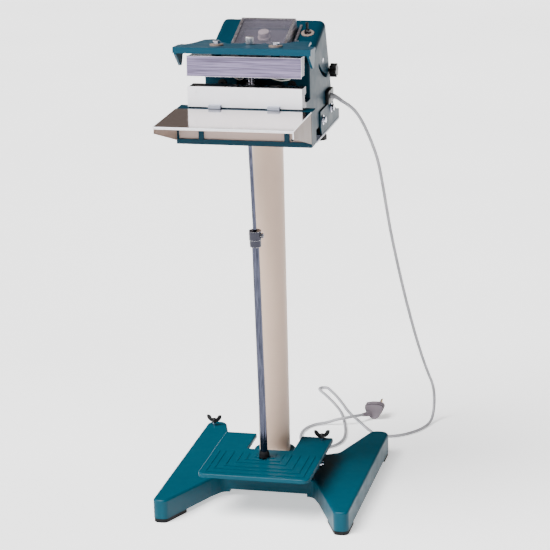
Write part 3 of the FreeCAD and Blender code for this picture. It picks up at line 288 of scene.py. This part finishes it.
MATERIALS["pane"] = glass()

SLOT_LOOK = {
    "teal_paint": "teal", "cream_paint": "cream", "beige_paint": "beige", "polished_steel": "tray",
    "white_cover": "white", "brushed_cover": "brushed", "chrome": "chrome",
    "aluminium": "aluminium", "grey_plate": "grey_plate", "black_rubber": "rubber",
    "black_plastic": "black", "silicone": "silicone", "ribbon": "steel", "spring_steel": "steel",
    "white_wire": "wire", "smoky_pane": "pane", "cream_plastic": "knob_cream",
    "dial_grey": "dial", "toggle_metal": "chrome", "board_green": "board", "cord_grey": "cord",
    "plug_grey": "plug", "brass_pins": "brass",
}


# Nodes that look unlike the rest of their slot.
NODE_LOOK = {
    # the head housing, saddle, rear cover and front beam take the darker teal as painted shade
    "base_casting": "teal_base", "pedal_plate": "teal_base", "head_housing": "teal_head_shade",
    "head_saddle": "teal_head_shade", "rear_cover": "teal_head_shade", "front_beam": "teal_head_shade",
    "pull_tube": "rod", "upper_rod": "rod", "rod_collar": "collar", "cover_screws": "white",
    # the tray gussets take the brown painted reflection
    "cover_clips": "clip", "tray_gussets": "gusset_painted_reflection", "boss_washers": "tan",
    "toggle_lever": "black", "toggle_plate": "tan", "toggle_switch": "collar",
    # the jaw bars take the dark steel as painted shade, so their ends stay dark beyond the covers
    "upper_jaw_bar": "collar", "lower_jaw_bar": "collar",
}


def dress_cad_nodes():
    """Give every carried-over CAD node the finish of its slot."""
    for entry in frame["record"]["subparts"]:
        item = nodes[entry["node"]]
        look = MATERIALS[NODE_LOOK.get(entry["node"], SLOT_LOOK[entry["material_slot"]])]
        for place in item.material_slots:
            place.material = look


def dress(piece, look, body):
    piece.data.materials.append(MATERIALS[look])
    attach(piece, body)


# ---------------------------------------------------------------- mesh helpers

def mm(node, corner=0):
    """One corner of a node's box at rest, in millimetres."""
    return [value * 1000 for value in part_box(node)[corner]]


def new_piece(name, mesh_builder, look, body, bevel=0.0):
    """A piece from a bmesh drawn in millimetres in the model's own frame."""
    build = bmesh.new()
    mesh_builder(build)
    bmesh.ops.recalc_face_normals(build, faces=build.faces)
    if bevel:
        sharp = [edge for edge in build.edges if len(edge.link_faces) == 2
                 and edge.calc_face_angle(0) > math.radians(32)]
        bmesh.ops.bevel(build, geom=sharp, offset=bevel, segments=2, profile=0.6,
                        affect="EDGES", clamp_overlap=True)
    bmesh.ops.scale(build, vec=(0.001, 0.001, 0.001), verts=build.verts)
    mesh = bpy.data.meshes.new(name)
    build.to_mesh(mesh)
    build.free()
    for face in mesh.polygons:
        face.use_smooth = True
    mesh.set_sharp_from_angle(angle=math.radians(42))
    piece = bpy.data.objects.new(name, mesh)
    bpy.context.collection.objects.link(piece)
    dress(piece, look, body)
    return piece


def frame_of(axis):
    """Three square directions, the last along the axis."""
    ahead = Vector(axis).normalized()
    side = ahead.orthogonal().normalized()
    return side, ahead.cross(side), ahead


def circle(build, centre, side, across, radius, steps):
    """A ring of corners round a centre, in the plane of side and across."""
    turns = [2 * math.pi * step / steps for step in range(steps)]
    return [build.verts.new(centre + side * radius * math.cos(turn)
                            + across * radius * math.sin(turn)) for turn in turns]


def skin(build, rings):
    """Faces from each ring of corners to the next, and a cap on both ends."""
    for low, high in zip(rings, rings[1:]):
        for step in range(len(low)):
            after = (step + 1) % len(low)
            build.faces.new((low[step], low[after], high[after], high[step]))
    build.faces.new(rings[0][::-1])
    build.faces.new(rings[-1])


def lathe(build, origin, axis, profile, steps=32, flutes=0, depth=0.0):
    """A turned form: profile is (radius, height) pairs; flutes cut ripples into it."""
    side, across, ahead = frame_of(axis)
    rings = []
    for radius, height in profile:
        ring = []
        for step in range(steps):
            turn = 2 * math.pi * step / steps
            reach = radius
            if flutes and radius > 2:
                reach -= depth * (0.5 - 0.5 * math.cos(turn * flutes))
            spot = (Vector(origin) + side * reach * math.cos(turn)
                    + across * reach * math.sin(turn) + ahead * height)
            ring.append(build.verts.new(spot))
        rings.append(ring)
    skin(build, rings)


def slab(build, outline, lift, thickness, place):
    """A flat plate: the outline's points are carried into space by place(u, v, w)."""
    low = [build.verts.new(place(u, v, lift)) for u, v in outline]
    high = [build.verts.new(place(u, v, lift + thickness)) for u, v in outline]
    skin(build, [low, high])


def box_between(build, low, high):
    corners = [(low[0], low[1]), (high[0], low[1]), (high[0], high[1]), (low[0], high[1])]
    slab(build, corners, low[2], high[2] - low[2], lambda u, v, w: Vector((u, v, w)))


# ---------------------------------------------------------------- fasteners and trim

WING_HEIGHT = 19
# half of the wing head seen from the side, as (reach, height) from its seat
WING_OUTLINE = [(3, 0.6), (8, 1.6), (12.5, 4.4), (16, 8.6), (18.1, 13.4), (18.3, 17),
                (16.6, 18.9), (12.8, 18.8), (9.4, 16.8), (7.4, 13), (5.6, 10.4), (3, 9.6)]
WING_HUB = [(4.4, 0), (6.3, 0.4), (6.5, 1.6), (5.8, 6), (5.2, 8.4), (3.6, 10.2), (1.2, 10.6)]


def wing_bolt(name, node, body, turn):
    """Black wing head with leaf-shaped wings on a plated shank."""
    low, high = mm(node), mm(node, 1)
    x, y = (low[0] + high[0]) / 2, (low[1] + high[1]) / 2
    seat = high[2] - WING_HEIGHT
    cosine, sine = math.cos(turn), math.sin(turn)

    def head(build):
        lathe(build, (x, y, seat), (0, 0, 1), WING_HUB, 24)
        for side in (-1, 1):
            def place(u, v, w, side=side):
                thin = w * (1.25 - 0.02 * u)
                return Vector((x + side * u * cosine - thin * sine,
                               y + side * u * sine + thin * cosine, seat + v))
            slab(build, WING_OUTLINE, -1.3, 2.6, place)

    def shank(build):
        lathe(build, (x, y, low[2]), (0, 0, 1),
              [(3.2, 0), (3.95, 0.8), (3.95, seat - low[2] - 0.2)], 20)

    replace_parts(new_piece(name + "_head", head, "black", body, 0.5), node)
    new_piece(name + "_shank", shank, "chrome", body)


PLUG_DEPTH = 24
PLUG_OUTLINE = [(-24, 17), (-8, 20), (10, 20.5), (21, 17), (24, 10), (19, -2), (10, -16), (3, -21),
                (-6, -21), (-14, -14), (-22, -3), (-25, 8)]


def make_plug():
    """The moulded plug: two shells with a dark seam between them, a darker outline round the front
    shell's edge, and a ribbed neck.
    """
    low, high = mm("plug_body"), mm("plug_body", 1)
    pins_low = mm("plug_pins")
    back = pins_low[1]
    front = back - PLUG_DEPTH
    middle_x, middle_z = high[0] - 25, (high[2] + low[2]) / 2

    def place(u, v, w):
        return Vector((middle_x + u * 0.97, w, middle_z + v * 0.95))

    def shell(build):
        slab(build, PLUG_OUTLINE, front + 0.2, 10.5, place)
        slab(build, PLUG_OUTLINE, front + 12.3, 11.5, place)
    body = new_piece("plug_shells", shell, "plug", "stand", 2.6)
    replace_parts(body, "plug_body")

    def seam(build):
        slab(build, [(u * 0.93, v * 0.93) for u, v in PLUG_OUTLINE], front + 10, 3, place)
        # a darker outline round the front shell's edge
        slab(build, PLUG_OUTLINE, front + 0.7, 1.9, place)
    edge = new_piece("plug_seam", seam, "plug_edge", "stand", 0.3)

    end = from_post(*CORD_ROUTE[-1]) * 1000
    way = (end - from_post(*CORD_ROUTE[-2]) * 1000).normalized()

    def neck(build):
        profile = [(4.2, -0.5)]
        for ring in range(6):
            at = 1 + ring * 3.4
            radius = 4.5 + 0.35 * ring
            profile += [(radius, at), (radius, at + 1.9), (radius - 0.7, at + 2.1),
                        (radius - 0.7, at + 3.2)]
        profile.append((6.2, 22))
        lathe(build, end, way, profile, 24)
    return [body, edge, new_piece("plug_neck", neck, "plug", "stand")]


def make_spring():
    """The coil spring under the arm, drawn at its rest length; the real one shortens as the arm
    closes.
    """
    low, high = mm("return_spring"), mm("return_spring", 1)
    wire = 0.9  # the wire's own radius
    x, y = (low[0] + high[0]) / 2, (low[1] + high[1]) / 2
    radius = (high[0] - low[0]) / 2 - wire
    rise = high[2] - low[2] - 2 * wire
    turns, steps = 13, 28

    def coil(build):
        rings = []
        for step in range(turns * steps + 1):
            angle = 2 * math.pi * step / steps
            outward = Vector((math.cos(angle), math.sin(angle), 0))
            # the pitch is a little wider at the ends than in the middle
            share = step / (turns * steps)
            level = share + 0.02 * math.sin(2 * math.pi * share)
            centre = Vector((x, y, low[2] + wire + rise * level)) + outward * radius
            rings.append(circle(build, centre, outward, Vector((0, 0, 1)), wire, 8))
        skin(build, rings)
    spring = new_piece("return_spring_coil", coil, "steel", "stand")
    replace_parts(spring, "return_spring")
    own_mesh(spring)


def make_tray_trim():
    """The tray's turned-down front hem, its right edge and the corner screw; hem and edge are
    white, a painted highlight along the polished tray's lip.
    """
    low, high = mm("work_tray"), mm("work_tray", 1)
    left, front = low[0], low[1]
    right, back, top = high

    def hem(build):
        box_between(build, (left, front, top - 4.4), (right, front + 2.0, top + 0.5))
        box_between(build, (right - 1.9, front, top - 17), (right, front + 2.2, top - 4))
        box_between(build, (right - 1.2, front + 2, top - 0.2), (right + 0.1, back, top + 0.5))
    # white enamel on the steel hem and edge: a painted highlight along the lip
    new_piece("tray_hem_painted_highlight", hem, "white", "stand", 0.5)

    def hem_screw(build):
        lathe(build, (right - 3.2, front + 3.2, top - 18.5), (0, -1, 0),
              [(2.9, -1), (2.9, 1.6), (2.0, 2.7), (0.6, 3.0)], 20)
    new_piece("tray_corner_screw", hem_screw, "black", "stand")


def make_pressure_nut():
    """The knurled nut on top of the rod: a low ring, a neck and a tall ring."""
    low, high = mm("pressure_nut"), mm("pressure_nut", 1)
    x, y = (low[0] + high[0]) / 2, (low[1] + high[1]) / 2

    def knurl(build):
        lathe(build, (x, y, low[2]), (0, 0, 1),
              [(7.6, 0.0), (8.6, 0.5), (8.6, 4.4), (6.9, 5.1), (6.9, 6.4), (8.6, 7.0),
               (8.6, 14.6), (7.6, 15.5), (4.2, 15.5)], 112, 28, 0.35)
    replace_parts(new_piece("pressure_nut_knurled", knurl, "aluminium", "pressure_nut"),
                "pressure_nut")


# millimetres below and above the point where the lead leaves: the block's two ends, and the
# sleeve's root above it
GLAND_BELOW = 5
GLAND_ABOVE = 25
SLEEVE_ROOT = 11


def make_gland():
    """The black block on the side wall and the ribbed sleeve that bends to the lead."""
    low, high = mm("cord_gland"), mm("cord_gland", 1)
    exit_point = from_post(*CORD_ROUTE[0]) * 1000
    away = (from_post(*CORD_ROUTE[1]) * 1000 - exit_point).normalized()
    face = low[0] + 14
    root = Vector((face, exit_point.y, exit_point.z + SLEEVE_ROOT))

    def gland_block(build):
        box_between(build, (low[0] + 6, low[1], exit_point.z - GLAND_BELOW),
                    (face, high[1], exit_point.z + GLAND_ABOVE))
    gland = new_piece("gland_block", gland_block, "black", "stand", 1.6)
    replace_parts(gland, "cord_gland")

    def relief(build):
        ribs = 9
        rings = []
        for rib in range(ribs):
            share = rib / (ribs - 1)
            centre = root.lerp(exit_point, share) + Vector((0, 0, 2.2 * math.sin(math.pi * share)))
            heading = Vector((1, 0, 0)).lerp(away, share)
            side, across, _ = frame_of(heading)
            for offset, swell in ((0, 1.0), (1.4, 1.0), (1.5, 0.82), (2.4, 0.82)):
                radius = (6.4 - 2.3 * share) * swell
                rings.append(circle(build, centre + heading * offset, side, across, radius, 24))
        skin(build, rings)
    return [gland, new_piece("cord_relief", relief, "cord", "stand")]


# ---------------------------------------------------------------- cord

CORD_DIAMETER = 0.0072

# The same route as the CAD tube's, in millimetres from the column's axis.
CORD_ROUTE = [
    (147, 98, 888), (168, 102, 876), (188, 114, 845), (205, 134, 794), (217, 162, 738),
    (224, 192, 654), (231, 222, 563), (241, 259, 468), (251, 302, 374), (261, 350, 284),
    (271, 400, 202), (280, 447, 136), (286, 489, 90), (288, 497, 53), (288, 483, 20),
    (285, 451, 3.7), (270, 404, 3.7), (240, 364, 3.7), (205, 342, 3.7), (170, 347, 3.7),
    (139, 386, 3.7), (108, 438, 3.7), (72, 491, 3.7), (44, 553, 3.7), (14, 611, 3.7),
    (-6, 643, 3.7), (-16, 660, 3.7), (-26, 663, 3.7), (-34, 658, 3.7), (-37, 648, 3.7),
    (-27, 631, 3.7), (-6, 600, 3.7), (29, 540, 3.7), (58, 480, 3.7), (78, 414, 3.7),
    (94, 348, 3.7), (98, 294, 3.7), (81, 252, 3.7), (44, 233, 3.7), (8, 252, 3.7),
    (-10, 300, 3.7), (-14, 352, 3.7), (4, 393, 3.7), (34, 407, 5), (60, 409, 15),
    (83, 413, 19), (102, 426, 20), (117, 445, 17),
]


def from_post(x, y, z):
    """A point in millimetres from the column's axis, as metres in the model's frame."""
    return Vector((x / 1000, y / 1000 + POST_Y, z / 1000))


def make_cord(with_pieces):
    """The mains lead, one curve from the gland to the plug; with_pieces is not used."""
    curve = bpy.data.curves.new("mains_lead", "CURVE")
    curve.dimensions = "3D"
    curve.bevel_depth = CORD_DIAMETER / 2
    curve.bevel_resolution = 5
    curve.use_fill_caps = True
    curve.resolution_u = 10
    spline = curve.splines.new("NURBS")
    spline.points.add(len(CORD_ROUTE) - 1)
    for point, place in zip(spline.points, CORD_ROUTE):
        point.co = (*from_post(*place), 1.0)
    spline.order_u = 3
    spline.use_endpoint_u = True
    piece = bpy.data.objects.new("mains_lead", curve)
    bpy.context.collection.objects.link(piece)
    dress(piece, "cord", "stand")
    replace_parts(piece, "mains_cord")


# ---------------------------------------------------------------- floor, light and camera

FLOOR_GLOW = 0.85
FLOOR_REACH = 30
FLOOR_GAP = 0.0005
# the sky's colours by height: bright at the horizon, warm above it, dim overhead
SKY = [(0.02, (0.9, 0.9, 0.9, 1)), (0.14, (0.42, 0.34, 0.3, 1)), (0.6, (0.3, 0.28, 0.28, 1))]
SKY_STRENGTH = 0.4
SUN_STRENGTH = 8.5
SUN_HEADING = (0.34, 0.42, -0.84)
FILL_POWER = 45
FILL_PLACE = (-2.6, -3.4, 1.5)
FILL_TARGET = (0, 0, 0.6)


def place_light(light, heading, place=(0, 0, 0)):
    item = bpy.data.objects.new(light.name, light)
    item.location = place
    item.rotation_euler = Vector(heading).to_track_quat("-Z", "Y").to_euler()
    bpy.context.collection.objects.link(item)


def make_floor():
    """A pale floor that glows a little, so that it stays light behind the machine."""
    mesh = bpy.data.meshes.new("studio_floor")
    reach = FLOOR_REACH
    mesh.from_pydata([(-reach, -reach, 0), (reach, -reach, 0), (reach, reach, 0),
                      (-reach, reach, 0)], [], [(0, 1, 2, 3)])
    floor = bpy.data.objects.new("studio_floor", mesh)
    bpy.context.collection.objects.link(floor)
    g = Graph("studio_floor_paint")
    pale = g.ramp(g.noise(1.5, 2), [(0.3, (0.88, 0.88, 0.88, 1)), (0.7, (0.92, 0.92, 0.92, 1))])
    g.base(pale)
    g.link(pale, g.shader.inputs["Emission Color"])
    g.put(Roughness=0.9, Specular_IOR_Level=0.1, Emission_Strength=FLOOR_GLOW)
    mesh.materials.append(g.material)
    floor.location.z = -FLOOR_GAP


def make_sky():
    world = bpy.data.worlds.new("studio")
    bpy.context.scene.world = world
    world.use_nodes = True
    tree = world.node_tree
    background = tree.nodes["Background"]
    coords = tree.nodes.new("ShaderNodeTexCoord")
    split = tree.nodes.new("ShaderNodeSeparateXYZ")
    ramp = tree.nodes.new("ShaderNodeValToRGB")
    ramp.color_ramp.elements.new(0.5)
    for element, (place, colour) in zip(ramp.color_ramp.elements, SKY):
        element.position = place
        element.color = colour
    tree.links.new(coords.outputs["Generated"], split.inputs[0])
    tree.links.new(split.outputs["Z"], ramp.inputs["Fac"])
    tree.links.new(ramp.outputs["Color"], background.inputs["Color"])
    background.inputs["Strength"].default_value = SKY_STRENGTH


def make_lights():
    """A broad high light from the front left, and a low fill on the same side."""
    sun = bpy.data.lights.new("high_soft_box", "SUN")
    sun.energy = SUN_STRENGTH
    sun.angle = math.radians(38)
    place_light(sun, SUN_HEADING)
    fill = bpy.data.lights.new("front_left", "AREA")
    fill.shape = "RECTANGLE"
    fill.size, fill.size_y = 1.2, 1.8
    fill.energy = FILL_POWER
    place_light(fill, Vector(FILL_TARGET) - Vector(FILL_PLACE), FILL_PLACE)


# metres from the column's axis and degrees; the lens in millimetres
CAMERA_PLACE = (1.1617, -4.7956, 2.0047)
CAMERA_AZIMUTH = 13.506
CAMERA_PITCH = -16.892
CAMERA_ROLL = -1.4006
CAMERA_LENS = 150.7


def make_camera():
    """A long lens at standing height, a little to the operator's right."""
    azimuth, pitch, roll = (math.radians(value) for value in
                            (CAMERA_AZIMUTH, CAMERA_PITCH, CAMERA_ROLL))
    ahead = Vector((-math.sin(azimuth) * math.cos(pitch), math.cos(azimuth) * math.cos(pitch),
                    math.sin(pitch)))
    level = Vector((math.cos(azimuth), math.sin(azimuth), 0))
    upward = level.cross(ahead)
    right = level * math.cos(roll) + upward * math.sin(roll)
    up = upward * math.cos(roll) - level * math.sin(roll)
    turn = Matrix((right, up, -ahead)).transposed().to_4x4()
    data = bpy.data.cameras.new("photo_camera")
    data.lens = CAMERA_LENS
    data.sensor_width = 36
    data.clip_end = 100
    item = bpy.data.objects.new("photo_camera", data)
    place = Vector(CAMERA_PLACE) + Vector((0, POST_Y, 0))
    item.matrix_world = Matrix.Translation(place) @ turn
    bpy.context.collection.objects.link(item)
    bpy.context.scene.camera = item


dress_cad_nodes()
make_camera()
plug_pieces = make_plug()
make_tray_trim()
make_pressure_nut()
make_cord(plug_pieces + make_gland() + [nodes["plug_pins"]])
make_floor()
make_sky()
make_lights()
make_spring()
wing_bolt("leveller", "leveller_wing_bolt", "leveller", 0.0)
wing_bolt("pedal_stop", "pedal_stop_wing_bolt", "stop_bolt", math.radians(12))
